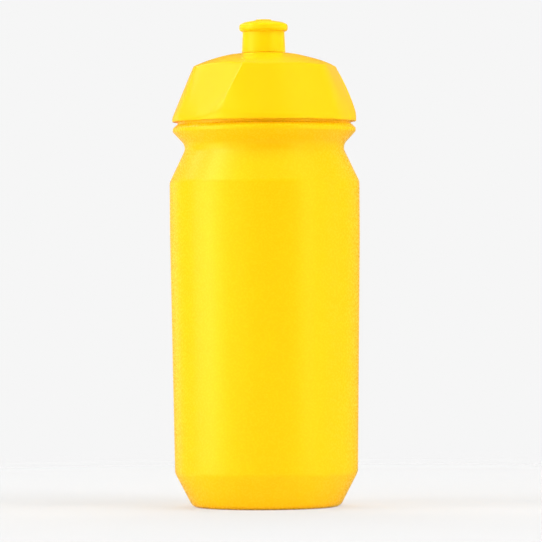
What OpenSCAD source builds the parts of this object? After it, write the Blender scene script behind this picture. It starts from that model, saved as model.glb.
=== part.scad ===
// Squeeze water bottle for a bicycle's bottle cage: a blown bottle with a screwed neck, a screw
// lid with three swirled faces, and a push-pull nozzle that slides on the lid's spout.
// The origin is the middle of the ring that the bottle stands on, and +Z points up its axis.

/* [Bottle body] */
// Diameter of the straight band that the bottle cage grips
band_d = 74; // [61:0.5:90]
// Height of the straight band
band_h = 21; // [12:1:26]
// Height of the band's upper edge above the floor
shoulder_z = 126.5; // [100:0.5:160]
// How much narrower the body is at its heel than at the band
body_taper = 2.7; // [0:0.1:4]
// Height of the sloping heel
heel_z = 13.4; // [9:0.2:20]
// How far the heel slopes in
heel_w = 6.95; // [4:0.05:9]
// Width of the flat ring that the bottle stands on
foot_w = 2.4; // [1.5:0.1:4]
// Rise of the bottom's middle above the floor
push_up = 4.5; // [2.5:0.1:7]
// Wall of the blown bottle
wall = 1.2; // [0.8:0.1:1.6]

/* [Waist, ring and neck] */
// Outer diameter of the neck under its thread
neck_d = 56.4; // [46:0.2:68]
// Wall of the neck
neck_wall = 1.5; // [1:0.1:2]
// Height of the neck above its foot
neck_h = 8; // [6.6:0.1:11]
// How far the waist's corner stands outside the neck
waist_step = 2.15; // [1:0.05:4]
// Height of the shoulder's slope, from the band to the waist
shoulder_h = 13.9; // [10:0.1:18]
// Rise from the waist to the middle of the carrying ring
ring_rise = 6.35; // [5:0.05:9]
// How far the carrying ring ends inside the lid's rim
ring_inset = 0.25; // [0:0.05:1.5]

/* [Screw thread] */
// Rise of the thread in one turn
thread_pitch = 4.5; // [3.7:0.05:5.4]
// Height of the thread above its root
thread_h = 1.15; // [0.8:0.05:1.4]
// Clearance between one piece's crest and the other piece's root
thread_gap = 0.35; // [0.25:0.05:0.6]
// Half of the thread's width at its root
thread_root = 1; // [0.7:0.05:1.1]
// Half of the thread's width at its crest
thread_crest = 0.45; // [0.3:0.05:0.6]
// Height of the thread's lower end above the foot of the neck
thread_foot = 1.7; // [1.6:0.1:3]
// Least room between the thread's upper end and the neck's top
thread_room = 1.425; // [1.2:0.025:3]

/* [Lid] */
// Wall of the lid's threaded collar
collar_wall = 1.5; // [1.2:0.1:2]
// Width of the hollow between the collar and the skirt, at the rim
moat = 3.1; // [2.6:0.1:5]
// Wall of the lid's skirt and dome
skirt_wall = 1.6; // [1.2:0.1:2]
// How far the foot of the neck reaches up inside the lid's rim
rim_lap = 0.2; // [0.1:0.05:0.4]
// Height of the lid's wall, from its rim to its shoulder
lid_wall_h = 21.2; // [20:0.1:25]
// How far the broad faces lean in for each millimetre of height
face_slope = 0.425; // [0.36:0.005:0.44]
// How far the middle of a broad face's curve stands off the axis
face_shift = 6; // [3:0.5:8]
// Thickness of the seal between the mouth and the lid
seal_t = 1.5; // [1:0.1:2]

/* [Spout and nozzle] */
// Diameter of the closing plug's head
plug_d = 6.3; // [5.2:0.1:6.6]
// Diameter of the hole through the spout
spout_bore_d = 7.8; // [6.5:0.1:9.6]
// Wall of the spout
spout_wall = 1.4; // [1.2:0.1:1.8]
// Sliding clearance between the spout and the nozzle's lip
slide_gap = 0.08; // [0.05:0.01:0.1]
// Room between the spout and the nozzle's sleeve, which the seal fills
sleeve_room = 0.6; // [0.5:0.05:0.8]
// Wall of the nozzle's hard sleeve
sleeve_wall = 0.8; // [0.7:0.1:1.2]
// Wall of the soft mouthpiece above its foot
bite_wall = 1.4; // [1:0.1:2]
// How far the mouthpiece's bead stands out from its neck
bead_w = 1.35; // [0.8:0.05:2]
// Height of the nozzle, from its lower end to the mouthpiece's top
nozzle_h = 12.45; // [12:0.05:15]
// How far the nozzle pulls out
nozzle_travel = 5; // [4:0.1:6]

/* [Hidden] */
yellow = "#FFD60F";
soft_yellow = "#FFCF12";
clear_grey = "#E4E2DA";
round_fn = 96;
ring_fn = 32;
corner_steps = 6;
eps = 0.01;
over = 1;

// Fillets of the bottle's outside, from its bottom up
push_up_fillet = 6;
push_up_step = 1.5;
foot_inner_fillet = 1.2;
foot_outer_fillet = 1.6;
body_fillet = 4;
waist_fillet = 3.6;
ring_fillet = 0.7;
flange_fillet = 0.35;
inner_fillet = 0.8;
neck_fillet = 0.6;
mouth_fillet = 0.4;

// Radii of the bottle
band_r = band_d / 2;
heel_r = band_r - body_taper / 2;
foot_r = heel_r - heel_w;
neck_r = neck_d / 2;
mouth_r = neck_r - neck_wall;
waist_r = neck_r + waist_step;

// Radii of the lid, from the neck outwards
bore_r = neck_r + thread_h + thread_gap;
collar_r = bore_r + collar_wall;
rim_r = collar_r + moat + skirt_wall;
ring_r = rim_r - ring_inset;

// Radii of the spout and the nozzle, from the bore outwards
spout_bore_r = spout_bore_d / 2;
spout_r = spout_bore_r + spout_wall;
lip_r = spout_r + slide_gap;
sleeve_bore_r = spout_r + sleeve_room;
sleeve_r = sleeve_bore_r + sleeve_wall;
bite_r = sleeve_r + bite_wall;

// Heights, from the floor up
waist_z = shoulder_z + shoulder_h;
ring_z = waist_z + ring_rise;
ring_half = 0.65;
flange_rise = 3.75;
ledge_run = 1.3;
ledge_drop = 0.1;
flange_w = 2.65;
neck_z = ring_z + flange_rise;
mouth_z = neck_z + neck_h;
seat_z = mouth_z + seal_t;
rim_z = neck_z - rim_lap;
collar_lift = 0.6;
collar_z = rim_z + collar_lift;
lid_z = rim_z + lid_wall_h;

// The lid's faces: three broad ones, and three narrow flats that cut their corners
rim_band = 1.1;
face_turn = 21.5;
flat_turn = -43;
flat_cut_rim = 0.9;
flat_slope = 0.413;
ledge_t = 1.6;
ledge_w = 3;

// The dome's outline: it falls from its flat landing more and more steeply
land_margin = 1.5;
dome_slope = 0.13;
dome_bend = 0.0095;
land_r = bite_r + land_margin;
shoulder_r = face_r(lid_z);
land_z = lid_z + dome_slope * (shoulder_r - land_r) + dome_bend * pow(shoulder_r - land_r, 2);

// The spout, the plug and the nozzle
bite_foot_flare = 0.4;
plug_r = plug_d / 2;
plug_gap = 0.1;
plug_stem_r = 1.6;
plug_proud = 0.4;
plug_lift = 1;
plug_flare = 1.6;
plug_chamfer = 0.25;
spoke_t = 1.2;
spoke_h = 3;
land_gap = 0.15;
lip_h = 1.4;
stop_h = 0.9;
stop_clear = 0.1;
plate_t = 1.2;
bite_top_t = 1.2;
nozzle_z = land_z + land_gap;
nozzle_top_z = nozzle_z + nozzle_h;
plate_z = nozzle_top_z - bite_top_t - plate_t;
stop_z = nozzle_z + lip_h + nozzle_travel + stop_clear;
stop_play = 0.15;
stop_w = sleeve_room - stop_play;
seal_gap = 0.05;
seal_ring_r = 0.6;
seal_step = 0.1;
seal_at = sleeve_bore_r - seal_gap - seal_ring_r;
seal_z = stop_z + stop_h + seal_ring_r + seal_step;
spout_lip = 0.5;
spout_chamfer = 0.3;
top_gap = 0.2;
spout_top_z = min(plate_z - top_gap, seal_z + seal_ring_r + spout_lip);

// The mouthpiece's bead, by depths below its top
bead_foot = 4.6;
bead_low = 4;
bead_high = 1.5;
lip_in = 0.7;
lip_drop = 0.6;
mouth_clear = 0.75;
bite_fillets = [0.3, 0.5, 0.8, 1, 2, 0.25];

// A corner with a fillet, from three corners given as [radius, height, fillet]
function unit(v) = v / norm(v);
function flat2(p) = [p[0], p[1]];
function turn_at(a, b, c) = acos(max(-1, min(1, unit(b - a) * unit(c - b))));
function fillet_reach(f, turn) = f * tan(turn / 2);
function corner(a, b, c, f) =
    let (
        u = unit(b - a),
        v = unit(c - b),
        turn = turn_at(a, b, c),
        reach = fillet_reach(f, turn),
        start = b - u * reach,
        side = unit(v - u * (u * v)),
        centre = start + side * f
    )
    f <= 0 || turn < 0.5 ? [b] :
    [for (i = [0 : corner_steps])
        let (t = turn * i / corner_steps) centre - side * f * cos(t) + u * f * sin(t)];

// A closed outline through corners, each rounded by its own fillet
function outline(p) =
    let (n = len(p))
    [for (i = [0 : n - 1])
        each corner(flat2(p[(i + n - 1) % n]), flat2(p[i]), flat2(p[(i + 1) % n]), p[i][2])];

// A point of an open path, moved a distance to the path's left
function left_of(u) = [-u[1], u[0]];
function moved(a, b, c, d) =
    let (n1 = left_of(unit(b - a)), n2 = left_of(unit(c - b)))
    b + (n1 + n2) * d / (1 + n1 * n2);

// The bottle's outside, from the middle of its bottom to the foot of its neck
outside = [
    [0, push_up, 0],
    [foot_r - foot_w - push_up_fillet, push_up - push_up_step, push_up_fillet],
    [foot_r - foot_w, 0, foot_inner_fillet],
    [foot_r, 0, foot_outer_fillet],
    [heel_r, heel_z, body_fillet],
    [band_r, shoulder_z - band_h, 0],
    [band_r, shoulder_z, body_fillet],
    [waist_r, waist_z, waist_fillet],
    [ring_r, ring_z - ring_half, ring_fillet],
    [ring_r, ring_z + ring_half, ring_fillet],
    [ring_r - ledge_run, ring_z + ring_half + ledge_run, flange_fillet],
    [ring_r - flange_w, ring_z + ring_half + ledge_run + ledge_drop, flange_fillet],
    [ring_r - flange_w, neck_z, flange_fillet],
    [neck_r, neck_z, neck_fillet]
];
inside_path = [for (i = [1 : len(outside) - 2])
    let (p = moved(flat2(outside[i - 1]), flat2(outside[i]), flat2(outside[i + 1]), wall))
    [p[0], p[1], outside[i][2]]];
bottle_outline = outline(concat(
    outside,
    [
        [neck_r, mouth_z, mouth_fillet],
        [mouth_r, mouth_z, mouth_fillet],
        [mouth_r, neck_z - wall, inner_fillet]
    ],
    [for (i = [len(inside_path) - 1 : -1 : 0]) inside_path[i]],
    [[0, push_up + wall, 0]]
));

// How far a face of the lid stands from the axis at a height
function face_r(z) = rim_r - face_slope * (z - rim_z - rim_band);
function flat_r(z) = rim_r - flat_cut_rim - flat_slope * (z - rim_z - rim_band);
function dome_z(r) = land_z - dome_slope * (r - land_r) - dome_bend * pow(max(0, r - land_r), 2);

// The neck's thread runs as far up as the neck has room for. The lid's runs between its turns.
thread_play = 0.15;
thread_lag = thread_root + thread_crest + thread_play;
neck_thread_span = 360 * (neck_h - thread_foot - thread_room) / thread_pitch;
lid_thread_start = 110;
lid_thread_span = neck_thread_span - 80;
lid_thread_z = neck_z + thread_foot - thread_lag + thread_pitch * lid_thread_start / 360;

// A helical ridge. Its root is sunk into the wall that carries it, and both ends fade out.
ridge_step = 10;
ridge_sink = 0.5;
ridge_fade = 40;
ridge_least = 0.08;
module ridge(root_r, height, out, start_z, start_a, span) {
    steps = ceil(span / ridge_step);
    fade = [for (i = [0 : steps]) max(ridge_least, min(1, i * ridge_step / ridge_fade,
        (steps - i) * ridge_step / ridge_fade))];
    rings = [for (i = [0 : steps])
        let (
            a = start_a + i * span / steps,
            z = start_z + thread_pitch * (a - start_a) / 360,
            tip = root_r + out * height * fade[i],
            foot = root_r - out * ridge_sink
        )
        for (p = [[foot, -thread_root], [tip, -thread_crest], [tip, thread_crest], [foot, thread_root]])
            [p[0] * cos(a), p[0] * sin(a), z + p[1]]];
    sides = [for (i = [0 : steps - 1], k = [0 : 3])
        [i * 4 + k, i * 4 + (k + 1) % 4, i * 4 + 4 + (k + 1) % 4, i * 4 + 4 + k]];
    ends = [[3, 2, 1, 0], [for (k = [0 : 3]) steps * 4 + k]];
    triangles = [for (f = concat(sides, ends))
        each [[f[0], f[1], f[2]], [f[0], f[2], f[3]]]];
    turned = [for (t = triangles) [t[2], t[1], t[0]]];
    polyhedron(points = rings, faces = out > 0 ? triangles : turned);
}

// The lid's outer form, or the same form with a wall taken off it
dome_steps = 10;
module lid_form(inset) {
    top = dome_z(0) + over;
    reach = rim_r * 2;
    intersection() {
        rotate_extrude($fn = round_fn)
            polygon(concat(
                [[0, rim_z - eps], [rim_r - inset, rim_z - eps]],
                [for (i = [0 : dome_steps])
                    let (
                        t = i / dome_steps,
                        r = rim_r + (land_r - rim_r) * t
                    )
                    [r - inset * (1 - t), dome_z(r) - inset]],
                [[0, land_z - inset]]
            ));
        for_each_face(face_turn) broad_cone(inset);
        for_each_face(flat_turn) leaning_flat(inset, top, reach);
    }
}
// The part that three copies of a shape, each turned to its own face, have in common
front = -90;
third = 120;
module for_each_face(turn) {
    intersection() {
        rotate([0, 0, front + turn]) children();
        rotate([0, 0, front + turn + third]) children();
        rotate([0, 0, front + turn + 2 * third]) children();
    }
}
// A broad face: a cone that stands off the axis, so it is flatter than the rim
module broad_cone(inset) {
    h = lid_wall_h + dome_slope * rim_r;
    translate([-face_shift, 0, rim_z - eps])
        cylinder(
            h = h,
            r1 = face_r(rim_z) + face_shift - inset,
            r2 = face_r(rim_z + h) + face_shift - inset,
            $fn = round_fn
        );
}
// A narrow flat, as a block whose outer side leans in
module leaning_flat(inset, top, reach) {
    rotate([90, 0, 0])
        linear_extrude(height = 2 * reach, center = true)
            polygon([[-reach, rim_z - over], [flat_r(rim_z - over) - inset, rim_z - over],
                [flat_r(top) - inset, top], [-reach, top]]);
}

module bottle_shell() {
    color(yellow) {
        rotate_extrude($fn = round_fn) polygon(bottle_outline);
        ridge(neck_r, thread_h, 1, neck_z + thread_foot, 0, neck_thread_span);
    }
}

module mouth_seal() {
    color(clear_grey)
        translate([0, 0, mouth_z])
            difference() {
                cylinder(h = seal_t, r = bore_r - thread_gap, $fn = round_fn);
                translate([0, 0, -over]) cylinder(h = seal_t + 2 * over, r = mouth_r, $fn = round_fn);
            }
}

// The lid's hollow: the bore for the neck, the moat round the collar, and the room under the dome
module lid_hollow() {
    translate([0, 0, rim_z - over]) cylinder(h = seat_z - rim_z + over, r = bore_r, $fn = round_fn);
    translate([0, 0, rim_z - over])
        cylinder(h = collar_z - rim_z + over, r = collar_r + eps, $fn = round_fn);
    translate([0, 0, seat_z - over]) cylinder(h = ledge_t + 2 * over, r = bore_r - ledge_w, $fn = round_fn);
    intersection() {
        lid_form(skirt_wall);
        translate([0, 0, seat_z + ledge_t]) cylinder(h = lid_wall_h, r = rim_r, $fn = round_fn);
    }
    intersection() {
        translate([0, 0, -2 * eps]) lid_form(skirt_wall);
        difference() {
            cylinder(h = seat_z - ledge_t, r = rim_r, $fn = round_fn);
            cylinder(h = seat_z, r = collar_r, $fn = round_fn);
        }
    }
    translate([0, 0, rim_z]) cylinder(h = land_z - rim_z + over, r = spout_bore_r, $fn = round_fn);
}

// The spout, with its stop and the groove of its seal
module spout() {
    rotate_extrude($fn = round_fn)
        difference() {
            polygon([
                [spout_bore_r, land_z - skirt_wall],
                [spout_r, land_z - skirt_wall],
                [spout_r, stop_z],
                [spout_r + stop_w, stop_z],
                [spout_r, stop_z + stop_h],
                [spout_r, spout_top_z - spout_chamfer],
                [spout_r - spout_chamfer, spout_top_z],
                [spout_bore_r, spout_top_z]
            ]);
            translate([seal_at, seal_z]) circle(r = seal_ring_r, $fn = ring_fn);
        }
}
// The plug that closes the nozzle, held in the spout by three spokes
module plug() {
    foot_z = land_z + plug_lift;
    head_z = plate_z - top_gap;
    rotate_extrude($fn = round_fn)
        polygon([
            [0, foot_z],
            [plug_stem_r, foot_z],
            [plug_stem_r, head_z - plug_flare],
            [plug_r, head_z],
            [plug_r, nozzle_top_z + plug_proud - plug_chamfer],
            [plug_r - plug_chamfer, nozzle_top_z + plug_proud],
            [0, nozzle_top_z + plug_proud]
        ]);
    for (a = [0 : 120 : 240])
        rotate([0, 0, a])
            translate([0, -spoke_t / 2, foot_z])
                cube([spout_bore_r + spout_wall / 2, spoke_t, spoke_h]);
}

module lid_shell() {
    color(yellow) {
        difference() {
            lid_form(0);
            lid_hollow();
        }
        ridge(bore_r, thread_h, -1, lid_thread_z, lid_thread_start, lid_thread_span);
        spout();
        plug();
    }
}

module spout_seal() {
    color(clear_grey)
        rotate_extrude($fn = round_fn)
            translate([seal_at, seal_z]) circle(r = seal_ring_r, $fn = ring_fn);
}

module nozzle_slide() {
    color(yellow)
        rotate_extrude($fn = round_fn)
            polygon([
                [lip_r, nozzle_z],
                [sleeve_r, nozzle_z],
                [sleeve_r, plate_z + plate_t],
                [plug_r + plug_gap, plate_z + plate_t],
                [plug_r + plug_gap, plate_z],
                [sleeve_bore_r, plate_z],
                [sleeve_bore_r, nozzle_z + lip_h],
                [lip_r, nozzle_z + lip_h]
            ]);
}

module nozzle_bite() {
    color(soft_yellow)
        rotate_extrude($fn = round_fn)
            polygon(outline([
                [sleeve_r, nozzle_z, 0],
                [bite_r + bite_foot_flare, nozzle_z, bite_fillets[0]],
                [bite_r, nozzle_top_z - bead_foot, bite_fillets[1]],
                [bite_r + bead_w, nozzle_top_z - bead_low, bite_fillets[2]],
                [bite_r + bead_w, nozzle_top_z - bead_high, bite_fillets[3]],
                [bite_r - lip_in, nozzle_top_z - lip_drop, bite_fillets[4]],
                [plug_r + mouth_clear, nozzle_top_z, bite_fillets[5]],
                [plug_r + mouth_clear, plate_z + plate_t, 0],
                [sleeve_r, plate_z + plate_t, 0]
            ]));
}

bottle_shell();
mouth_seal();
lid_shell();
spout_seal();
nozzle_slide();
nozzle_bite();
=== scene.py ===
"""A squeeze water bottle for a bicycle: blown body, screw lid with swirled faces, push-pull nozzle."""

import math

import bpy
import numpy as np
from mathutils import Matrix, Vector


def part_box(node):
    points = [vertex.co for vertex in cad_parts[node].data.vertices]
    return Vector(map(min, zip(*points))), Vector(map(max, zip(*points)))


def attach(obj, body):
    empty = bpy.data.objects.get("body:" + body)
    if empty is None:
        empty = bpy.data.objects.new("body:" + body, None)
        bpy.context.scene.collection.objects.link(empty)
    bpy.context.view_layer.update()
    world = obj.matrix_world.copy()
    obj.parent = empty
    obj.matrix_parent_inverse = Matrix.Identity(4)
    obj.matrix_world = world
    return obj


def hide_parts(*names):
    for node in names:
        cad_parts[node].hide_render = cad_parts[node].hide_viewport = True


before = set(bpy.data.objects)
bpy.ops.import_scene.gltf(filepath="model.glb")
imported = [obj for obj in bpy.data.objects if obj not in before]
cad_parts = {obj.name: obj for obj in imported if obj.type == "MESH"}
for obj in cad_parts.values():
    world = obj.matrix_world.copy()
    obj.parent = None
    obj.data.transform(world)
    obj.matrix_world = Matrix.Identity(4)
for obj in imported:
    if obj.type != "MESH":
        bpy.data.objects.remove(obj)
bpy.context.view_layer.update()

MM = 0.001  # the frame is in metres and every length below is in millimetres


# ---------------------------------------------------------------- small helpers
def linear(code):
    """A colour socket's value from an sRGB hex code."""
    parts = [int(code[i : i + 2], 16) / 255 for i in (1, 3, 5)]
    return [c / 12.92 if c <= 0.04045 else ((c + 0.055) / 1.055) ** 2.4 for c in parts] + [1.0]


def add(tree, kind, inputs=None, **settings):
    """Adds a node. inputs gives sockets by name or number, each a value or another node's output."""
    made = tree.nodes.new(kind)
    for key, value in settings.items():
        setattr(made, key, value)
    for key, value in (inputs or {}).items():
        if isinstance(value, bpy.types.NodeSocket):
            tree.links.new(value, made.inputs[key])
        else:
            made.inputs[key].default_value = value
    return made


def smooth_step(x, start, end):
    """0 below start, 1 above end, and smooth between."""
    t = np.clip((x - start) / (end - start), 0, 1)
    return t * t * (3 - 2 * t)


def cad_size(node):
    """Lowest and highest corner of a CAD node, in millimetres."""
    low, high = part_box(node)
    return np.array(low) / MM, np.array(high) / MM


# ---------------------------------------------------------------- outlines of turned pieces
ARC_STEP = 7.0  # degrees between the points of a fillet
RUN = 3.5  # longest straight run between two points
EDGE = 0.12  # a run's first and last point lie this near its fillets, to keep flat parts flat in shading


def arc_or_point(before, at, after, fillet):
    """The points of a rounded corner."""
    u = (at - before) / np.linalg.norm(at - before)
    v = (after - at) / np.linalg.norm(after - at)
    turn = math.acos(max(-1.0, min(1.0, float(u @ v))))
    if fillet <= 0 or turn < 0.01:
        return [at]
    reach = fillet * math.tan(turn / 2)
    side = v - u * (u @ v)
    side /= np.linalg.norm(side)
    centre = at - u * reach + side * fillet
    steps = max(3, round(math.degrees(turn) / ARC_STEP))
    angles = [turn * i / steps for i in range(steps + 1)]
    return [centre - side * fillet * math.cos(a) + u * fillet * math.sin(a) for a in angles]


def outline(corners, closed):
    """(radius, height) points along (radius, height, fillet) corners, with some along each straight run."""
    flat = [np.array(c[:2], float) for c in corners]
    n = len(flat)
    rounded = []
    for i, c in enumerate(corners):
        if closed or 0 < i < n - 1:
            rounded.append(arc_or_point(flat[i - 1], flat[i], flat[(i + 1) % n], c[2]))
        else:
            rounded.append([flat[i]])
    points = []
    for i, here in enumerate(rounded):
        points += here
        if i == n - 1 and not closed:
            break
        a, b = here[-1], rounded[(i + 1) % n][0]
        length = np.linalg.norm(b - a)
        if length < 4 * EDGE:
            continue
        shares = np.linspace(0, 1, max(2, math.ceil(length / RUN)) + 1)
        stops = [EDGE / length, *shares[1:-1], 1 - EDGE / length]
        points += [a + (b - a) * s for s in stops]
    if closed:
        points.append(points[0])
    return points


# ---------------------------------------------------------------- Geometry Nodes
def new_tree(name, sockets):
    """An empty geometry tree with named inputs, given as (name, kind, default)."""
    tree = bpy.data.node_groups.new(name, "GeometryNodeTree")
    for label, kind, default in sockets:
        made = tree.interface.new_socket(label, in_out="INPUT", socket_type=kind)
        if default is not None:
            made.default_value = default
    tree.interface.new_socket("Geometry", in_out="OUTPUT", socket_type="NodeSocketGeometry")
    return tree


def finish_tree(tree, shape, material):
    """Ends a tree in Realize Instances and Set Material."""
    real = add(tree, "GeometryNodeRealizeInstances", {"Geometry": shape})
    done = add(tree, "GeometryNodeSetMaterial", {"Geometry": real.outputs[0], "Material": material})
    add(tree, "NodeGroupOutput", {"Geometry": done.outputs[0]})


def lathe_tree():
    """Turns an outline, whose points are the vertices of a mesh in the XZ plane, round the Z axis."""
    tree = new_tree(
        "turned_form",
        [
            ("Outline", "NodeSocketGeometry", None),
            ("Segments", "NodeSocketInt", 360),
            ("Weld", "NodeSocketFloat", 0.000001),
            ("Material", "NodeSocketMaterial", None),
        ],
    )
    given = add(tree, "NodeGroupInput")
    count = add(
        tree, "GeometryNodeAttributeDomainSize", {"Geometry": given.outputs["Outline"]}, component="MESH"
    )
    rings = add(tree, "ShaderNodeMath", {0: given.outputs["Segments"], 1: 1.0}, operation="ADD")
    grid = add(
        tree,
        "GeometryNodeMeshGrid",
        {"Vertices X": rings.outputs[0], "Vertices Y": count.outputs["Point Count"]},
    )
    index = add(tree, "GeometryNodeInputIndex")
    along = add(
        tree,
        "ShaderNodeMath",
        {0: index.outputs[0], 1: count.outputs["Point Count"]},
        operation="MODULO",
    )
    ratio = add(
        tree,
        "ShaderNodeMath",
        {0: index.outputs[0], 1: count.outputs["Point Count"]},
        operation="DIVIDE",
    )
    ring = add(tree, "ShaderNodeMath", {0: ratio.outputs[0]}, operation="FLOOR")
    share = add(tree, "ShaderNodeMath", {0: ring.outputs[0], 1: given.outputs["Segments"]}, operation="DIVIDE")
    angle = add(tree, "ShaderNodeMath", {0: share.outputs[0], 1: math.tau}, operation="MULTIPLY")
    place = add(tree, "GeometryNodeInputPosition")
    point = add(
        tree,
        "GeometryNodeSampleIndex",
        {"Geometry": given.outputs["Outline"], "Value": place.outputs[0], "Index": along.outputs[0]},
        data_type="FLOAT_VECTOR",
        domain="POINT",
    )
    turned = add(
        tree,
        "ShaderNodeVectorRotate",
        {"Vector": point.outputs[0], "Axis": (0, 0, 1), "Angle": angle.outputs[0]},
        rotation_type="AXIS_ANGLE",
    )
    shape = add(
        tree, "GeometryNodeSetPosition", {"Geometry": grid.outputs["Mesh"], "Position": turned.outputs[0]}
    )
    welded = add(
        tree,
        "GeometryNodeMergeByDistance",
        {"Geometry": shape.outputs[0], "Distance": given.outputs["Weld"]},
    )
    smooth = add(tree, "GeometryNodeSetShadeSmooth", {"Geometry": welded.outputs[0]})
    finish_tree(tree, smooth.outputs[0], given.outputs["Material"])
    return tree


def thread_tree():
    """Sweeps a thread's cross-section along a helix, and fades both of its ends."""
    tree = new_tree(
        "screw_thread",
        [
            ("Section", "NodeSocketGeometry", None),
            ("Turns", "NodeSocketFloat", 1.0),
            ("Pitch", "NodeSocketFloat", 0.0045),
            ("Radius", "NodeSocketFloat", 0.028),
            ("Start height", "NodeSocketFloat", 0.15),
            ("Start angle", "NodeSocketFloat", 0.0),
            ("Fade", "NodeSocketFloat", 0.1),
            ("Material", "NodeSocketMaterial", None),
        ],
    )
    given = add(tree, "NodeGroupInput")
    height = add(
        tree, "ShaderNodeMath", {0: given.outputs["Turns"], 1: given.outputs["Pitch"]}, operation="MULTIPLY"
    )
    helix = add(
        tree,
        "GeometryNodeCurveSpiral",
        {
            "Resolution": 120,
            "Rotations": given.outputs["Turns"],
            "Start Radius": given.outputs["Radius"],
            "End Radius": given.outputs["Radius"],
            "Height": height.outputs[0],
            "Reverse": True,
        },
    )
    lift = add(tree, "ShaderNodeCombineXYZ", {"Z": given.outputs["Start height"]})
    turn = add(tree, "ShaderNodeCombineXYZ", {"Z": given.outputs["Start angle"]})
    placed = add(
        tree,
        "GeometryNodeTransform",
        {"Geometry": helix.outputs[0], "Translation": lift.outputs[0], "Rotation": turn.outputs[0]},
    )
    upright = add(tree, "GeometryNodeSetCurveNormal", {"Curve": placed.outputs[0]}, mode="Z_UP")
    along = add(tree, "GeometryNodeSplineParameter")
    start = add(
        tree, "ShaderNodeMath", {0: along.outputs["Factor"], 1: given.outputs["Fade"]}, operation="DIVIDE"
    )
    left = add(tree, "ShaderNodeMath", {0: 1.0, 1: along.outputs["Factor"]}, operation="SUBTRACT")
    end = add(tree, "ShaderNodeMath", {0: left.outputs[0], 1: given.outputs["Fade"]}, operation="DIVIDE")
    least = add(tree, "ShaderNodeMath", {0: start.outputs[0], 1: end.outputs[0]}, operation="MINIMUM")
    scale = add(
        tree,
        "ShaderNodeMapRange",
        {"Value": least.outputs[0], "To Min": 0.12, "To Max": 1.0},
        interpolation_type="SMOOTHSTEP",
    )
    section = add(tree, "GeometryNodeMeshToCurve", {"Mesh": given.outputs["Section"]})
    swept = add(
        tree,
        "GeometryNodeCurveToMesh",
        {
            "Curve": upright.outputs[0],
            "Profile Curve": section.outputs[0],
            "Scale": scale.outputs["Result"],
            "Fill Caps": True,
        },
    )
    smooth = add(tree, "GeometryNodeSetShadeSmooth", {"Geometry": swept.outputs[0]})
    finish_tree(tree, smooth.outputs[0], given.outputs["Material"])
    return tree


def spoke_tree():
    """Sets copies of one spoke round the Z axis."""
    tree = new_tree(
        "spoke_ring",
        [
            ("Spoke", "NodeSocketGeometry", None),
            ("Count", "NodeSocketInt", 3),
            ("Material", "NodeSocketMaterial", None),
        ],
    )
    given = add(tree, "NodeGroupInput")
    points = add(tree, "GeometryNodePoints", {"Count": given.outputs["Count"]})
    index = add(tree, "GeometryNodeInputIndex")
    share = add(tree, "ShaderNodeMath", {0: index.outputs[0], 1: given.outputs["Count"]}, operation="DIVIDE")
    angle = add(tree, "ShaderNodeMath", {0: share.outputs[0], 1: math.tau}, operation="MULTIPLY")
    turn = add(tree, "ShaderNodeCombineXYZ", {"Z": angle.outputs[0]})
    copies = add(
        tree,
        "GeometryNodeInstanceOnPoints",
        {"Points": points.outputs[0], "Instance": given.outputs["Spoke"], "Rotation": turn.outputs[0]},
    )
    finish_tree(tree, copies.outputs[0], given.outputs["Material"])
    return tree


def plain_mesh(name, points, edges=(), faces=()):
    """An object whose mesh is given in millimetres."""
    mesh = bpy.data.meshes.new(name)
    mesh.from_pydata([tuple(float(c) * MM for c in p) for p in points], list(edges), [tuple(f) for f in faces])
    made = bpy.data.objects.new(name, mesh)
    bpy.context.scene.collection.objects.link(made)
    return made


def run_tree(name, source, tree, values):
    """Applies a tree to source and returns the result as a plain mesh object. values are by input name."""
    modifier = source.modifiers.new(tree.name, "NODES")
    modifier.node_group = tree
    for item in tree.interface.items_tree:
        if item.item_type == "SOCKET" and item.in_out == "INPUT" and item.name in values:
            modifier[item.identifier] = values[item.name]
    graph = bpy.context.evaluated_depsgraph_get()
    mesh = bpy.data.meshes.new_from_object(source.evaluated_get(graph))
    source.modifiers.remove(modifier)
    bpy.data.objects.remove(source)
    mesh.name = name
    made = bpy.data.objects.new(name, mesh)
    bpy.context.scene.collection.objects.link(made)
    return made


def turned_piece(name, corners, closed, segments, material):
    """A piece turned from (radius, height, fillet) corners, whose outline runs with its solid on the left."""
    points = outline(corners, closed)
    n = len(points)
    runs = [(i, i + 1) for i in range(n - 1)]
    source = plain_mesh(name + "_outline", [(p[0], 0, p[1]) for p in points], runs)
    return run_tree(name, source, LATHE, {"Segments": segments, "Material": material})


def finished(piece, body, slot, *nodes):
    """Hands a piece to the frame: the body it rides on and the CAD nodes it stands for. slot, its finish, is
    not used.
    """
    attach(piece, body)
    if nodes:
        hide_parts(*nodes)
    return piece


# ---------------------------------------------------------------- finishes
GLOSS_SPREAD = 0.03  # how far the roughness strays to each side
GRAIN_SHARE = 0.12  # the grain's height beside the swell's
SEAM_HEIGHT = 1.2  # a parting line's height beside the swell's
RELIEF, RELIEF_STRENGTH = 0.06, 0.35  # height of the whole relief in mm, and how much of it shows
SCATTER_MM = 2  # how far light spreads inside the plastic


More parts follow.
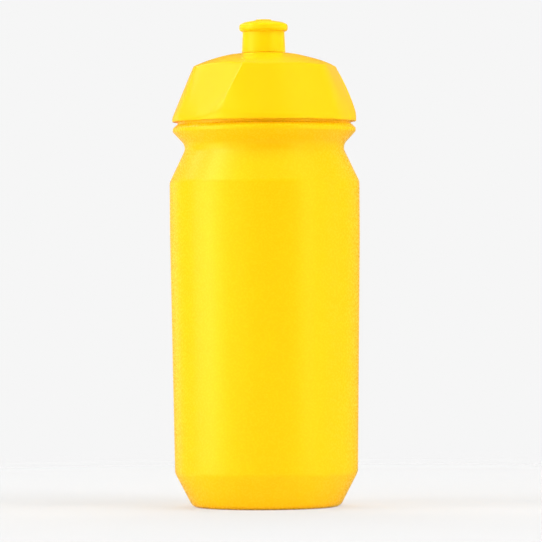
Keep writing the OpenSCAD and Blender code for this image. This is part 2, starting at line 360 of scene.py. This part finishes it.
def plastic(name, body_hex, deep_hex, gloss, ior, waviness, grain, tint=None, glow=0.0, seam=0.0):
    """A pigmented plastic.

    waviness and grain are the sizes, in mm, of its slow swell and of its skin's grain. seam is the width of the
    parting lines, glow is how much light goes into the plastic and out again.
    """
    made = bpy.data.materials.new(name)
    made.use_nodes = True
    tree = made.node_tree
    tree.nodes.clear()
    place = add(tree, "ShaderNodeTexCoord")
    swell = add(
        tree,
        "ShaderNodeTexNoise",
        {"Vector": place.outputs["Object"], "Scale": 1 / (waviness * MM), "Detail": 2.0, "Roughness": 0.45},
    )
    skin = add(
        tree,
        "ShaderNodeTexNoise",
        {"Vector": place.outputs["Object"], "Scale": 1 / (grain * MM), "Detail": 3.0, "Roughness": 0.6},
    )
    colour = add(
        tree,
        "ShaderNodeMix",
        {"Factor": swell.outputs[0], 6: linear(deep_hex), 7: linear(body_hex)},
        data_type="RGBA",
    )
    strays = {"To Min": gloss - GLOSS_SPREAD, "To Max": gloss + GLOSS_SPREAD}
    dull = add(
        tree, "ShaderNodeMapRange", {"Value": skin.outputs[0], "From Min": 0.3, "From Max": 0.7, **strays}
    )
    height = add(
        tree,
        "ShaderNodeMath",
        {0: skin.outputs[0], 1: GRAIN_SHARE, 2: swell.outputs[0]},
        operation="MULTIPLY_ADD",
    ).outputs[0]
    if seam:
        split = add(tree, "ShaderNodeSeparateXYZ", {0: place.outputs["Object"]})
        off = add(tree, "ShaderNodeMath", {0: split.outputs["Y"]}, operation="ABSOLUTE")
        line = add(
            tree,
            "ShaderNodeMapRange",
            {"Value": off.outputs[0], "From Min": 0.0, "From Max": seam * MM, "To Min": 1.0, "To Max": 0.0},
            interpolation_type="SMOOTHSTEP",
        )
        height = add(
            tree, "ShaderNodeMath", {0: line.outputs[0], 1: SEAM_HEIGHT, 2: height}, operation="MULTIPLY_ADD"
        ).outputs[0]
    bump = add(tree, "ShaderNodeBump", {"Height": height, "Strength": RELIEF_STRENGTH, "Distance": RELIEF * MM})
    shader = add(
        tree,
        "ShaderNodeBsdfPrincipled",
        {
            "Base Color": colour.outputs[2],
            "Roughness": dull.outputs[0],
            "Normal": bump.outputs[0],
            "IOR": ior,
        },
    )
    if tint:
        shader.inputs["Specular Tint"].default_value = linear(tint)
    if glow:
        shader.inputs["Subsurface Weight"].default_value = glow
        shader.inputs["Subsurface Radius"].default_value = (1.0, 0.5, 0.1)
        shader.inputs["Subsurface Scale"].default_value = SCATTER_MM * MM
    add(tree, "ShaderNodeOutputMaterial", {"Surface": shader.outputs[0]})
    return made


SHEEN = "#FFF370"  # the plastics' reflections take a little of the pigment's yellow
# Low-density polyethylene, blown in a mould: a satin skin with a slow swell and two faint parting lines.
BLOWN_LDPE = plastic(
    "blown_ldpe_yellow",
    "#FDC20D",
    "#FDC00D",
    gloss=0.27,
    ior=1.51,
    waviness=14,
    grain=0.8,
    tint=SHEEN,
    glow=0.1,
    seam=0.22,
)
# Polypropylene, injection moulded: tighter and a little glossier than the blown body.
MOULDED_PP = plastic(
    "moulded_pp_yellow",
    "#FDC50D",
    "#FDC30D",
    gloss=0.24,
    ior=1.49,
    waviness=18,
    grain=0.6,
    tint=SHEEN,
    glow=0.15,
)
# Thermoplastic elastomer, moulded over the slide: soft to the teeth, with a dry and slightly cloudy skin.
SOFT_TPE = plastic(
    "soft_tpe_yellow",
    "#FDD00D",
    "#FDCD0D",
    gloss=0.33,
    ior=1.48,
    waviness=6,
    grain=0.4,
    tint=SHEEN,
    glow=0.25,
)
# Silicone rubber, pressed: milky and matt.
PRESSED_SILICONE = plastic(
    "pressed_silicone_white", "#E6E4DC", "#DAD8CE", gloss=0.5, ior=1.41, waviness=8, grain=0.4
)

LATHE = lathe_tree()
THREAD = thread_tree()
SPOKES = spoke_tree()

# ---------------------------------------------------------------- bottle
bottle_high = cad_size("bottle_shell")[1]
lid_low, lid_high = cad_size("lid_shell")
BAND_R = bottle_high[0]
MOUTH_Z = bottle_high[2]
SKIRT_Z = lid_low[2]
RIM_Z = SKIRT_Z - 0.3  # the rim's rolled edge hangs a little lower
WALL = 1.2  # wall of the blown body
NECK_R, MOUTH_R = 28.2, 26.7
NECK_Z = SKIRT_Z + 0.2
BAND_Z = (105.5, 126.5)  # the straight band that the cage grips
WAIST = (30.35, 140.4)
RING_R = 35.65
RING_Z = (146.1, 147.4)
FLANGE_R = 33.8  # the step above the ring, which closes the gap under the lid's rim
HEEL = (35.65, 13.4)
FOOT = (26.3, 28.7)  # inner and outer radius of the ring that the bottle stands on

PUSH_UP = 4.5  # height of the bottom's middle above the standing ring
bottle_skin = [
    (0, PUSH_UP, 0),
    (20.3, 3.0, 6),
    (FOOT[0], 0, 1.2),
    (FOOT[1], 0, 3.2),
    (*HEEL, 4),
    (BAND_R, BAND_Z[0], 60),
    (BAND_R, BAND_Z[1], 4),
    (*WAIST, 3.6),
    (RING_R, RING_Z[0], 0.7),
    (RING_R, RING_Z[1], 0.7),
    (RING_R - 1.3, RING_Z[1] + 1.3, 0.35),
    (FLANGE_R, RING_Z[1] + 1.4, 0.35),
    (FLANGE_R, NECK_Z, 0.35),
    (NECK_R, NECK_Z, 0.6),
]


def moved_in(corners, distance):
    """The inner corners of a path, each moved a wall's thickness to the path's left."""
    moved = []
    for i in range(1, len(corners) - 1):
        a, b, c = (np.array(corners[k][:2], float) for k in (i - 1, i, i + 1))
        u, v = (b - a) / np.linalg.norm(b - a), (c - b) / np.linalg.norm(c - b)
        m, n = np.array([-u[1], u[0]]), np.array([-v[1], v[0]])
        p = b + (m + n) * distance / (1 + float(m @ n))
        moved.append((p[0], p[1], corners[i][2]))
    return moved


bottle_corners = [
    *bottle_skin,
    (NECK_R, MOUTH_Z, 0.4),
    (MOUTH_R, MOUTH_Z, 0.4),
    (MOUTH_R, NECK_Z - WALL, 0.8),
    *reversed(moved_in(bottle_skin, WALL)),
    (0, PUSH_UP + WALL, 0),
]
BODY_SEGMENTS = 240
bottle = turned_piece("bottle_body", bottle_corners, False, BODY_SEGMENTS, BLOWN_LDPE)
finished(bottle, "bottle", "bottle_plastic", "bottle_shell")

# ---------------------------------------------------------------- threads
PITCH = 4.5
THREAD_H = 1.15  # height of a thread's crest above its wall
SINK = 0.3  # how deep a thread's root lies in that wall
THREAD_FOOT = 1.7  # from the flange up to the middle of the neck thread's start
THREAD_TURN = 390  # degrees of the neck's thread
FADE_DEG = 40  # a thread grows to its full size over this much of each end
LID_THREAD_AT, LID_THREAD_TURN = 110, 310  # where the lid's thread starts and how far it goes, in degrees


def thread_section(name, out):
    """The trapezoid of a thread, its root sunk into the wall that carries it."""
    corners = [(-SINK, -1.0), (THREAD_H - 0.25, -0.6), (THREAD_H - 0.05, -0.42), (THREAD_H, -0.25)]
    corners += [(x, -z) for x, z in reversed(corners)]
    n = len(corners)
    points = [(x * out, z, 0) for x, z in corners][::out]  # backwards for a thread that points inwards
    return plain_mesh(name, points, [(i, (i + 1) % n) for i in range(n)])


def thread_piece(name, out, radius, start_z, start_deg, span_deg, material):
    """A thread on a wall's outside when out is 1, on its inside when out is -1."""
    return run_tree(
        name,
        thread_section(name + "_section", out),
        THREAD,
        {
            "Turns": span_deg / 360,
            "Pitch": PITCH * MM,
            "Radius": radius * MM,
            "Start height": start_z * MM,
            "Start angle": math.radians(start_deg),
            "Fade": FADE_DEG / span_deg,
            "Material": material,
        },
    )


neck_thread = thread_piece("neck_thread", 1, NECK_R, NECK_Z + THREAD_FOOT, 0, THREAD_TURN, BLOWN_LDPE)
finished(neck_thread, "bottle", "bottle_plastic")

# ---------------------------------------------------------------- lid
RIM_R = 35.9  # the lid is widest at its rim
RIM_BAND = 1.4  # height of the upright band at the rim
SHOULDER_Z = 171.5
LAND_Z, LAND_R = 176.80, 9.6
DOME_SLOPE, DOME_BEND = 0.13, 0.0088  # the dome falls from its flat landing more and more steeply
LID_WALL = 1.6
SPOUT_R, BORE_R = 5.3, 3.9
FACE_AT = 21.5  # azimuth of a broad face's middle, from -Y towards +X
FACE_LEAN = 0.4256  # how much a broad face comes in for each millimetre up
FACE_FLATTEN = 11.5  # how far off the axis the middle of a broad face's arc is at the shoulder
FLAT_AT, FLAT_TURN = -49.0, 7.0  # azimuth of a narrow flat's middle at the rim, and its turn on the way up
FLAT_R, FLAT_LEAN, FLAT_BULGE = 35.1, 0.4326, 1.2  # its distance from the axis, its lean and its slow bulge
RIM_EASE, SOFT_EASE = 0.35, 2.6  # roundness of the edge over the rim and of a flat's soft crease
SHARP_EASE, LOW_EASE = 0.14, 1.6  # roundness of the crisp crease at the shoulder, and what the rim adds to it
SHOULDER_EASE = 0.5  # roundness of the edge between wall and dome
COLLAR_R, COLLAR_BORE, COLLAR_Z = 31.2, 29.7, 150.9
SEAT_Z = 160.0


def smooth_min(a, b, k):
    """The lesser of a and b, with the corner between them rounded over k."""
    h = np.maximum(k - np.abs(a - b), 0) / k
    return np.minimum(a, b) - h * h * k / 4


def broad_face(deg, z):
    """Radius of a broad face: an arc that is nearly the rim's at the bottom and flatter higher up."""
    up = np.clip((z - RIM_Z) / (SHOULDER_Z - RIM_Z), 0, 1.3)
    near = RIM_R - FACE_LEAN * (z - RIM_Z - RIM_BAND)
    offset = FACE_FLATTEN * up**0.8
    a = np.radians(deg)
    return -offset * np.cos(a) + np.sqrt(np.maximum((near + offset) ** 2 - (offset * np.sin(a)) ** 2, 1))


def flat_middle(up):
    """Azimuth of a narrow flat's middle, at a share of the way from the rim to the shoulder."""
    return FLAT_AT + FLAT_TURN * up


def narrow_flat(deg, z):
    """Radius of a narrow flat, whose azimuth turns a little on its way up. deg is from -Y."""
    up = np.clip((z - RIM_Z) / (SHOULDER_Z - RIM_Z), 0, 1.3)
    distance = FLAT_R - FLAT_LEAN * (z - RIM_Z - RIM_BAND) + FLAT_BULGE * up * (1 - up)
    a = np.radians(deg - flat_middle(up))
    return distance / np.maximum(np.cos(a), 0.2)


def wall_r(deg, z):
    """Radius of the lid's wall at an azimuth between the creases of one sector, in degrees from -Y."""
    faces = [broad_face(deg - FACE_AT - 120 * k, z) for k in (-1, 0, 1)]
    face = np.minimum(np.minimum(faces[0], faces[1]), faces[2])
    up = np.clip((z - RIM_Z) / (SHOULDER_Z - RIM_Z), 0, 1)
    crisp = SHARP_EASE + LOW_EASE * (1 - up) ** 2.2
    out = face
    for k in (0, 1):
        flat = narrow_flat(deg - 120 * k, z)
        side = (deg - 120 * k) - flat_middle(up)
        out = smooth_min(out, flat, np.where(side > 0, crisp, SOFT_EASE))
    return smooth_min(out, np.full_like(out, RIM_R), RIM_EASE)


def dome_height(r):
    """Height of the dome at a radius outside its landing."""
    return LAND_Z - DOME_SLOPE * (r - LAND_R) - DOME_BEND * np.maximum(r - LAND_R, 0) ** 2


def dome_reach(angle, from_z):
    """Distance along a ray from the axis, at a height and an angle above level, to the dome."""
    rise = math.tan(angle)
    linear_part = DOME_SLOPE + rise
    constant = from_z + LAND_R * rise - LAND_Z
    past_land = (math.sqrt(linear_part**2 - 4 * DOME_BEND * constant) - linear_part) / (2 * DOME_BEND)
    return (LAND_R + past_land) / math.cos(angle)


SWIRL_R, SWIRL_DEG = 8.3, -60  # where a swirl line meets the nozzle's foot


def crease_on_wall(z):
    """Azimuth of the crisp crease between a flat and the face on its right, at a height."""
    deg = np.linspace(-44, -10, 1400)
    gap = narrow_flat(deg, np.full_like(deg, z)) - broad_face(deg - FACE_AT, np.full_like(deg, z))
    return float(deg[int(np.argmax(gap > 0))])


def soft_crease_on_wall(z):
    """Azimuth of the soft crease between a face and the flat on its right."""
    deg = np.linspace(40, 78, 1400)
    gap = narrow_flat(deg - 120, np.full_like(deg, z)) - broad_face(deg - FACE_AT, np.full_like(deg, z))
    return float(deg[int(np.argmax(gap < 0))])


def crease_on_dome(r, top_deg, top_r):
    """Azimuth of the dome's swirl line: it runs from the shoulder to touch the nozzle's foot."""
    top, foot = math.radians(top_deg), math.radians(SWIRL_DEG)
    x0, y0 = top_r * math.sin(top), -top_r * math.cos(top)
    x1, y1 = SWIRL_R * math.sin(foot), -SWIRL_R * math.cos(foot)
    t = np.clip((top_r - r) / (top_r - SWIRL_R), 0, 1)
    x, y = x0 + (x1 - x0) * t, y0 + (y1 - y0) * t
    return float(np.degrees(np.arctan2(x, -y)))


NEAR_CREASE = [0.0, 0.25, 0.5, 0.8, 1.15, 1.6, 2.2, 3.0, 4.0]  # degrees from a crisp crease to the nodes by it
NEAR_SOFT = 4.0  # degrees to each side of a soft crease that get closer nodes


def sector_nodes(crisp, soft):
    """Azimuths of one sector, from its crisp crease to the next, closer together near the creases."""
    face = [crisp + d for d in NEAR_CREASE]
    face += list(np.linspace(face[-1], soft - NEAR_SOFT, 62)[1:])
    face += list(np.linspace(soft - NEAR_SOFT, soft + NEAR_SOFT, 13)[1:])
    end = crisp + 120
    face += list(np.linspace(soft + NEAR_SOFT, end - NEAR_CREASE[-1], 24)[1:])
    face += [end - d for d in reversed(NEAR_CREASE[1:-1])]
    return np.array(face)


STEP = 0.3  # how far a flat lies below the face on its right, beside the crease
STEP_W = 0.5  # width of that step
STEP_BACK = 9.0  # how far from the crease the flat is back in its own plane
STEP_FADE = (154.0, 161.0)  # heights between which the step dies out on its way down
STEP_ROOT = (8.6, 13.0)  # radii between which it starts on the dome


def crease_step(nodes, crisp, r, depth):
    """How far the skin lies lower on the flat's side of a crease. It comes back up over a few millimetres."""
    arc = np.radians(np.abs(nodes - (crisp + 120))) * r
    return depth * smooth_step(arc, 0.0, STEP_W) * (1 - smooth_step(arc, STEP_W, STEP_BACK))


CORNER_LIFT = 0.7  # how far the dome rises towards the corner where a crisp crease meets the shoulder
LIFT_FROM, LIFT_WIDTH = (15.0, 28.0), 9.0  # the radii over which it does so, and how far along the shoulder
CENTRE_Z = 158.0  # the lid's outer skin is found along rays from this height on the axis
WALL_RAYS = np.linspace(-11.9, 18, 34)  # their angles above level, on the wall
SHOULDER_RAYS = np.linspace(18, 32, 40)[1:]  # and closer together over the shoulder
FIRST_R = 33  # a guess at the skin's radius, where the search along a ray starts
DOME_RADII = [*np.arange(25.5, 10.0, -1.0), 9.8, 9.2, 8.4, 7.4, 6.5]  # rows of the skin on the dome, inwards
LANDING_EDGE = 6  # how tightly the dome bends into its flat landing


def corner_lift(nodes, crisp, r):
    """The dome's rise beside a crisp crease, most at the shoulder and none half-way in."""
    arc = np.radians(np.minimum(np.abs(nodes - crisp), np.abs(nodes - crisp - 120))) * r
    return CORNER_LIFT * smooth_step(r, *LIFT_FROM) * (1 - smooth_step(arc, 0.0, LIFT_WIDTH))


def lid_skin_rows():
    """The lid's outer skin from its rim to the spout's foot, as (azimuths, radii, heights) of one sector."""
    rows = []
    shoulder_deg = crease_on_wall(SHOULDER_Z)
    crossing_r = float(narrow_flat(np.array([shoulder_deg]), np.array([SHOULDER_Z]))[0])
    for angle in np.radians(np.concatenate([WALL_RAYS, SHOULDER_RAYS])):
        z_guess = CENTRE_Z + FIRST_R * math.tan(angle)
        crisp = crease_on_wall(min(z_guess, SHOULDER_Z + 0.5))
        soft = soft_crease_on_wall(min(z_guess, SHOULDER_Z + 0.5))
        nodes = sector_nodes(crisp, soft)
        t = np.full_like(nodes, FIRST_R / math.cos(angle))
        for _ in range(30):
            t = wall_r(nodes, CENTRE_Z + t * math.sin(angle)) / math.cos(angle)
        if angle > 0:
            dome_t = dome_reach(angle, CENTRE_Z)
            dome_r = dome_t * math.cos(angle)
            slope = DOME_SLOPE + 2 * DOME_BEND * (dome_r - LAND_R)
            lift = corner_lift(nodes, crisp, dome_r) / (math.sin(angle) + slope * math.cos(angle))
            t = smooth_min(t, dome_t + lift, SHOULDER_EASE)
        crease_z = CENTRE_Z + t[-1] * math.sin(angle)
        t = t - crease_step(nodes, crisp, t[-1], STEP * smooth_step(crease_z, *STEP_FADE))
        rows.append((nodes, t * math.cos(angle), CENTRE_Z + t * math.sin(angle)))
    innermost = rows[-1][1].min()
    for r in [v for v in DOME_RADII if v < innermost - 0.4]:
        crisp = crease_on_dome(r, shoulder_deg, crossing_r)
        soft = crisp + (soft_crease_on_wall(SHOULDER_Z) - shoulder_deg)
        nodes = sector_nodes(crisp, soft)
        z = dome_height(np.full_like(nodes, r))
        z = LAND_Z - np.log1p(np.exp((LAND_Z - z) * LANDING_EDGE)) / LANDING_EDGE
        lower = crease_step(nodes, crisp, r, STEP * smooth_step(r, *STEP_ROOT))
        rows.append((nodes, np.full_like(nodes, r), z - lower + corner_lift(nodes, crisp, r)))
    return rows


def ring_mesh(name, rows, closed):
    """A skin from rows of (azimuths, radii, heights) of one sector, repeated for three sectors."""
    count = len(rows[0][0]) - 1
    points, faces = [], []
    for nodes, radii, heights in rows:
        for k in range(3):
            a = np.radians(nodes[:-1] + 120 * k)
            points += list(zip(radii[:-1] * np.sin(a), -radii[:-1] * np.cos(a), heights[:-1]))
    across = count * 3
    for i in range(len(rows) if closed else len(rows) - 1):
        low, high = i * across, (i + 1) % len(rows) * across
        for j in range(across):
            k = (j + 1) % across
            faces.append((low + j, low + k, high + k, high + j))
    return plain_mesh(name, points, faces=faces)


skin = lid_skin_rows()
flat_row = skin[-1][0]


def round_row(nodes, r, z):
    """A level, round row."""
    return nodes, np.full_like(nodes, float(r)), np.full_like(nodes, float(z))


def under(row, drop, inward):
    """A row of the lid's inner skin, below or inside an outer row."""
    nodes, radii, heights = row
    return nodes, radii - inward, heights - drop


outer_rows = list(skin)
rim_nodes = skin[0][0]
rim_radii = skin[0][1]
rim_rows = [
    (rim_nodes, np.maximum(rim_radii - 1.45, COLLAR_R + 0.1), np.full_like(rim_nodes, RIM_Z + 0.15)),
    (rim_nodes, rim_radii - 1.3, np.full_like(rim_nodes, RIM_Z)),
    (rim_nodes, rim_radii - 0.45, np.full_like(rim_nodes, RIM_Z)),
    (rim_nodes, rim_radii - 0.22, np.full_like(rim_nodes, RIM_Z + 0.03)),
    (rim_nodes, rim_radii - 0.07, np.full_like(rim_nodes, RIM_Z + 0.14)),
]
outer_rows[0] = (rim_nodes, rim_radii, np.full_like(rim_nodes, RIM_Z + 0.4))

spout_top = 186.15
stop_z = 183.45
spout_rows = [
    round_row(flat_row, r, z)
    for r, z in [
        (5.9, LAND_Z + 0.02),
        (5.5, LAND_Z + 0.12),
        (SPOUT_R, LAND_Z + 0.4),
        (SPOUT_R, LAND_Z + 3),
        (SPOUT_R, stop_z - 0.05),
        (SPOUT_R + 0.4, stop_z),
        (SPOUT_R + 0.45, stop_z + 0.1),
        (SPOUT_R, stop_z + 0.9),
        (SPOUT_R - 0.05, stop_z + 1.05),
        (SPOUT_R - 0.05, spout_top - 0.3),
        (SPOUT_R - 0.3, spout_top),
        (BORE_R + 0.2, spout_top),
        (BORE_R, spout_top - 0.2),
        (BORE_R, spout_top - 4),
        (BORE_R, LAND_Z - 1.4),
        (BORE_R + 0.2, LAND_Z - LID_WALL),
    ]
]
DOME_SPAN = (7, 23)  # radii of the outer rows that the dome's inside follows
WALL_SPAN = (SEAT_Z + 2.2, 169.5)  # heights of those that the wall's inside follows
dome_under = [
    under(row, LID_WALL + 0.05, 0.0) for row in reversed(skin) if DOME_SPAN[0] < row[1].mean() < DOME_SPAN[1]
]
wall_under = [
    under(row, 0.25, LID_WALL + 0.1) for row in reversed(skin) if WALL_SPAN[0] < row[2].mean() < WALL_SPAN[1]
]
ledge_row = min(skin, key=lambda row: abs(row[2].mean() - (SEAT_Z + LID_WALL)))
moat_row = min(skin, key=lambda row: abs(row[2].mean() - (SEAT_Z - LID_WALL)))
ledge_nodes, moat_nodes = ledge_row[0], moat_row[0]
inner_rows = [
    *dome_under,
    *wall_under,
    (ledge_nodes, ledge_row[1] - LID_WALL - 0.1, np.full_like(ledge_nodes, SEAT_Z + LID_WALL + 0.3)),
    (ledge_nodes, ledge_row[1] - LID_WALL - 0.4, np.full_like(ledge_nodes, SEAT_Z + LID_WALL)),
    round_row(ledge_nodes, COLLAR_BORE - 2.8, SEAT_Z + LID_WALL),
    round_row(ledge_nodes, COLLAR_BORE - 3, SEAT_Z + LID_WALL - 0.2),
    round_row(ledge_nodes, COLLAR_BORE - 3, SEAT_Z),
    round_row(ledge_nodes, COLLAR_BORE, SEAT_Z),
    round_row(ledge_nodes, COLLAR_BORE, SEAT_Z - 0.2),
    round_row(moat_nodes, COLLAR_BORE, COLLAR_Z + 0.3),
    round_row(moat_nodes, COLLAR_BORE + 0.25, COLLAR_Z),
    round_row(moat_nodes, COLLAR_R - 0.25, COLLAR_Z),
    round_row(moat_nodes, COLLAR_R, COLLAR_Z + 0.3),
    round_row(moat_nodes, COLLAR_R, SEAT_Z - LID_WALL - 0.2),
]
skirt_rows = [
    (row[0], np.maximum(row[1] - LID_WALL - 0.1, COLLAR_R + 0.1), np.minimum(row[2], SEAT_Z - LID_WALL))
    for row in reversed(skin)
    if SEAT_Z - LID_WALL >= row[2].mean() > RIM_Z + 1.0
]
lid = ring_mesh("lid_cap", [*rim_rows, *outer_rows, *spout_rows, *inner_rows, *skirt_rows], True)
for polygon in lid.data.polygons:
    polygon.use_smooth = True
lid.data.materials.append(MOULDED_PP)
finished(lid, "lid", "lid_plastic", "lid_shell")

lid_thread_z = NECK_Z + 0.1 + PITCH * LID_THREAD_AT / 360
lid_thread = thread_piece(
    "lid_thread", -1, COLLAR_BORE, lid_thread_z, LID_THREAD_AT, LID_THREAD_TURN, MOULDED_PP
)
finished(lid_thread, "lid", "lid_plastic")

# ---------------------------------------------------------------- plug, in the spout
PLUG_TOP = lid_high[2]
bite_low, bite_high = cad_size("nozzle_bite")
slide_high = cad_size("nozzle_slide")[1]
NOZZLE_Z, NOZZLE_TOP = bite_low[2], bite_high[2]
PLATE = 1.2  # thickness of the sleeve's end
PLATE_Z = slide_high[2] - PLATE
PLUG_R, STEM_R = 3.15, 1.6
plug_corners = [
    (0, LAND_Z + 1, 0),
    (STEM_R, LAND_Z + 1, 0.2),
    (STEM_R, PLATE_Z - 1.8, 0.4),
    (PLUG_R, PLATE_Z - 0.2, 0.2),
    (PLUG_R, PLUG_TOP, 0.35),
    (0, PLUG_TOP, 0),
]
plug = turned_piece("closing_plug", plug_corners, False, 96, MOULDED_PP)
finished(plug, "lid", "lid_plastic")

SPOKE = (1.2, 3.0)  # width and height of a spoke
SPOKE_END = BORE_R + 0.5  # its end lies in the spout's wall
spoke_corners = [
    (x, y * SPOKE[0] / 2, LAND_Z + 1 + z)
    for x, z, y in [(0.4, 0, -1), (SPOKE_END, 0, -1), (SPOKE_END, SPOKE[1], -1), (0.4, SPOKE[1] + 0.5, -1)]
]
spoke_corners += [(x, -y, z) for x, y, z in spoke_corners]
spoke_faces = [(0, 1, 2, 3), (7, 6, 5, 4), (4, 5, 1, 0), (5, 6, 2, 1), (6, 7, 3, 2), (7, 4, 0, 3)]
spokes = run_tree(
    "plug_spokes",
    plain_mesh("spoke", spoke_corners, faces=spoke_faces),
    SPOKES,
    {"Count": 3, "Material": MOULDED_PP},
)
finished(spokes, "lid", "lid_plastic")

# ---------------------------------------------------------------- seals
for node in ("mouth_seal", "spout_seal"):
    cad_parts[node].data.materials.clear()
    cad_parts[node].data.materials.append(PRESSED_SILICONE)

# ---------------------------------------------------------------- nozzle
SLEEVE_BORE, SLEEVE_R, LIP_R = 5.9, 6.7, 5.38
slide_corners = [
    (LIP_R, NOZZLE_Z, 0.15),
    (SLEEVE_R, NOZZLE_Z, 0),
    (SLEEVE_R, PLATE_Z + PLATE, 0),
    (PLUG_R + 0.1, PLATE_Z + PLATE, 0.12),
    (PLUG_R + 0.1, PLATE_Z, 0.12),
    (SLEEVE_BORE, PLATE_Z, 0.3),
    (SLEEVE_BORE, NOZZLE_Z + 1.4, 0.2),
    (LIP_R, NOZZLE_Z + 1.4, 0.15),
]
slide = turned_piece("nozzle_sleeve", slide_corners, True, 144, MOULDED_PP)
finished(slide, "nozzle", "nozzle_plastic", "nozzle_slide")

BITE_R, BEAD_R = 8.1, bite_high[0]
MOUTH_HOLE_R = PLUG_R + 0.75
bite_corners = [
    (SLEEVE_R, NOZZLE_Z - 0.12, 0),
    (BITE_R + 0.4, NOZZLE_Z - 0.12, 0.15),
    (BITE_R, NOZZLE_TOP - 4.3, 0.4),
    (BEAD_R, NOZZLE_TOP - 3.9, 1.1),
    (BEAD_R, NOZZLE_TOP - 1.5, 1.2),
    (BITE_R - 0.7, NOZZLE_TOP - 0.6, 2.0),
    (MOUTH_HOLE_R, NOZZLE_TOP, 0.25),
    (MOUTH_HOLE_R, PLATE_Z + PLATE, 0),
    (SLEEVE_R, PLATE_Z + PLATE, 0),
]
bite = turned_piece("mouthpiece", bite_corners, True, 180, SOFT_TPE)
finished(bite, "nozzle", "mouthpiece_rubber", "nozzle_bite")

# ---------------------------------------------------------------- floor, light and camera
PALE = bpy.data.materials.new("pale_floor")
PALE.use_nodes = True
floor_tree = PALE.node_tree
floor_tree.nodes.clear()
where = add(floor_tree, "ShaderNodeTexCoord")
reach = add(floor_tree, "ShaderNodeVectorMath", {0: where.outputs["Object"]}, operation="LENGTH")
fade = add(
    floor_tree,
    "ShaderNodeMapRange",
    {"Value": reach.outputs["Value"], "From Min": 0.15, "From Max": 0.55},  # metres from the bottle
    interpolation_type="SMOOTHSTEP",
)
# The view sees a floor as pale as the backdrop with faint shadows. The underside gets a white floor's light.
direct = add(floor_tree, "ShaderNodeLightPath")
tone = add(
    floor_tree,
    "ShaderNodeMix",
    {0: direct.outputs["Is Camera Ray"], 6: linear("#F8F8F8"), 7: linear("#CCCCCC")},
    data_type="RGBA",
)
matt = add(floor_tree, "ShaderNodeBsdfDiffuse", {"Color": tone.outputs[2]})
clear = add(floor_tree, "ShaderNodeBsdfTransparent")
faint = add(floor_tree, "ShaderNodeMath", {0: direct.outputs["Is Camera Ray"], 1: 0.5}, operation="MULTIPLY")
share = add(floor_tree, "ShaderNodeMath", {0: fade.outputs[0], 1: faint.outputs[0]}, operation="MAXIMUM")
blend = add(floor_tree, "ShaderNodeMixShader", {0: share.outputs[0], 1: matt.outputs[0], 2: clear.outputs[0]})
add(floor_tree, "ShaderNodeOutputMaterial", {"Surface": blend.outputs[0]})
floor = plain_mesh(
    "floor", [(-700, -700, 0), (700, -700, 0), (700, 700, 0), (-700, 700, 0)], faces=[(0, 1, 2, 3)]
)
floor.data.materials.append(PALE)
floor.visible_glossy = False

scene = bpy.context.scene
scene.view_settings.view_transform = "Standard"
world = bpy.data.worlds.new("studio")
scene.world = world
world.use_nodes = True
sky = world.node_tree
sky.nodes.clear()
seen = add(sky, "ShaderNodeLightPath")
dim = add(sky, "ShaderNodeBackground", {"Color": (1, 1, 1, 1), "Strength": 0.13})
bright = add(sky, "ShaderNodeBackground", {"Color": linear("#F6F6F6"), "Strength": 1.0})
both = add(
    sky, "ShaderNodeMixShader", {0: seen.outputs["Is Camera Ray"], 1: dim.outputs[0], 2: bright.outputs[0]}
)
add(sky, "ShaderNodeOutputWorld", {"Surface": both.outputs[0]})


AIM = (0, 0, 0.1)


def softbox(name, azimuth, height, distance, width, tall, power, gleam):
    """An area light that faces the bottle, with sizes in metres and its power in watts.

    Azimuth is from the camera's side, positive to the right. A gleam light shows in reflections alone, and the
    others stay out of them.
    """
    data = bpy.data.lights.new(name, "AREA")
    data.shape = "RECTANGLE"
    data.size, data.size_y = width, tall
    data.energy = power
    made = bpy.data.objects.new(name, data)
    scene.collection.objects.link(made)
    a = math.radians(azimuth)
    made.location = (distance * math.sin(a), -distance * math.cos(a), height)
    aim = Vector(AIM) - made.location
    made.rotation_mode = "QUATERNION"
    made.rotation_quaternion = aim.to_track_quat("-Z", "Y")
    made.visible_camera = False
    made.visible_glossy = gleam
    made.visible_diffuse = not gleam


# Upright strips that fill the bottle's colour, by azimuth. The middle stays a little darker.
FILL = {-140: 5.7, -87: 5.2, -71: 7.3, -30: 2.3, 50: 6.9, 90: 2.6, 135: 5.2}
for azimuth, power in FILL.items():
    softbox(f"fill_{azimuth}", azimuth, 0.25, 1.1, 0.30, 1.3, power, False)
TOP_FILL = {"left": (-60, 3.7), "right": (60, 9.2), "front": (0, 2.5), "back": (180, 9.0)}
for side, (azimuth, power) in TOP_FILL.items():
    softbox(f"fill_top_{side}", azimuth, 1.2, 0.8, 0.8, 0.8, power, False)
# The same for the pale streaks: low strips for the body and high ones for the lid's and the shoulder's slopes.
LOW_GLEAM = {
    -165: 0.2,
    -140: 0.3,
    -87: 0.75,
    -71: 1.8,
    -55: 1.4,
    -38: 0.3,
    38: 0.2,
    55: 0.95,
    71: 0.25,
    165: 0.08,
}
HIGH_GLEAM = {-140: 0.81, -118: 1.21, -99: 0.58, -80: 2.49, -61: 1.83, -40: 0.65}
for azimuth, power in LOW_GLEAM.items():
    softbox(f"gleam_{azimuth}", azimuth, 0.05, 1.1, 0.28, 0.85, power, True)
for azimuth, power in HIGH_GLEAM.items():
    softbox(f"high_gleam_{azimuth}", azimuth, 0.95, 1.1, 0.36, 0.5, power, True)
softbox("top_gleam", 0, 1.4, 0.05, 1.2, 1.2, 0.85, True)

EYE = (0.00225, -1.667, 0.0875)
camera_data = bpy.data.cameras.new("camera")
camera_data.lens = 284.0
camera_data.sensor_width = 36.0
camera_data.clip_end = 50
camera = bpy.data.objects.new("camera", camera_data)
scene.collection.objects.link(camera)
camera.location = EYE
camera.rotation_euler = (math.radians(90.147), math.radians(0.39), 0)
scene.camera = camera
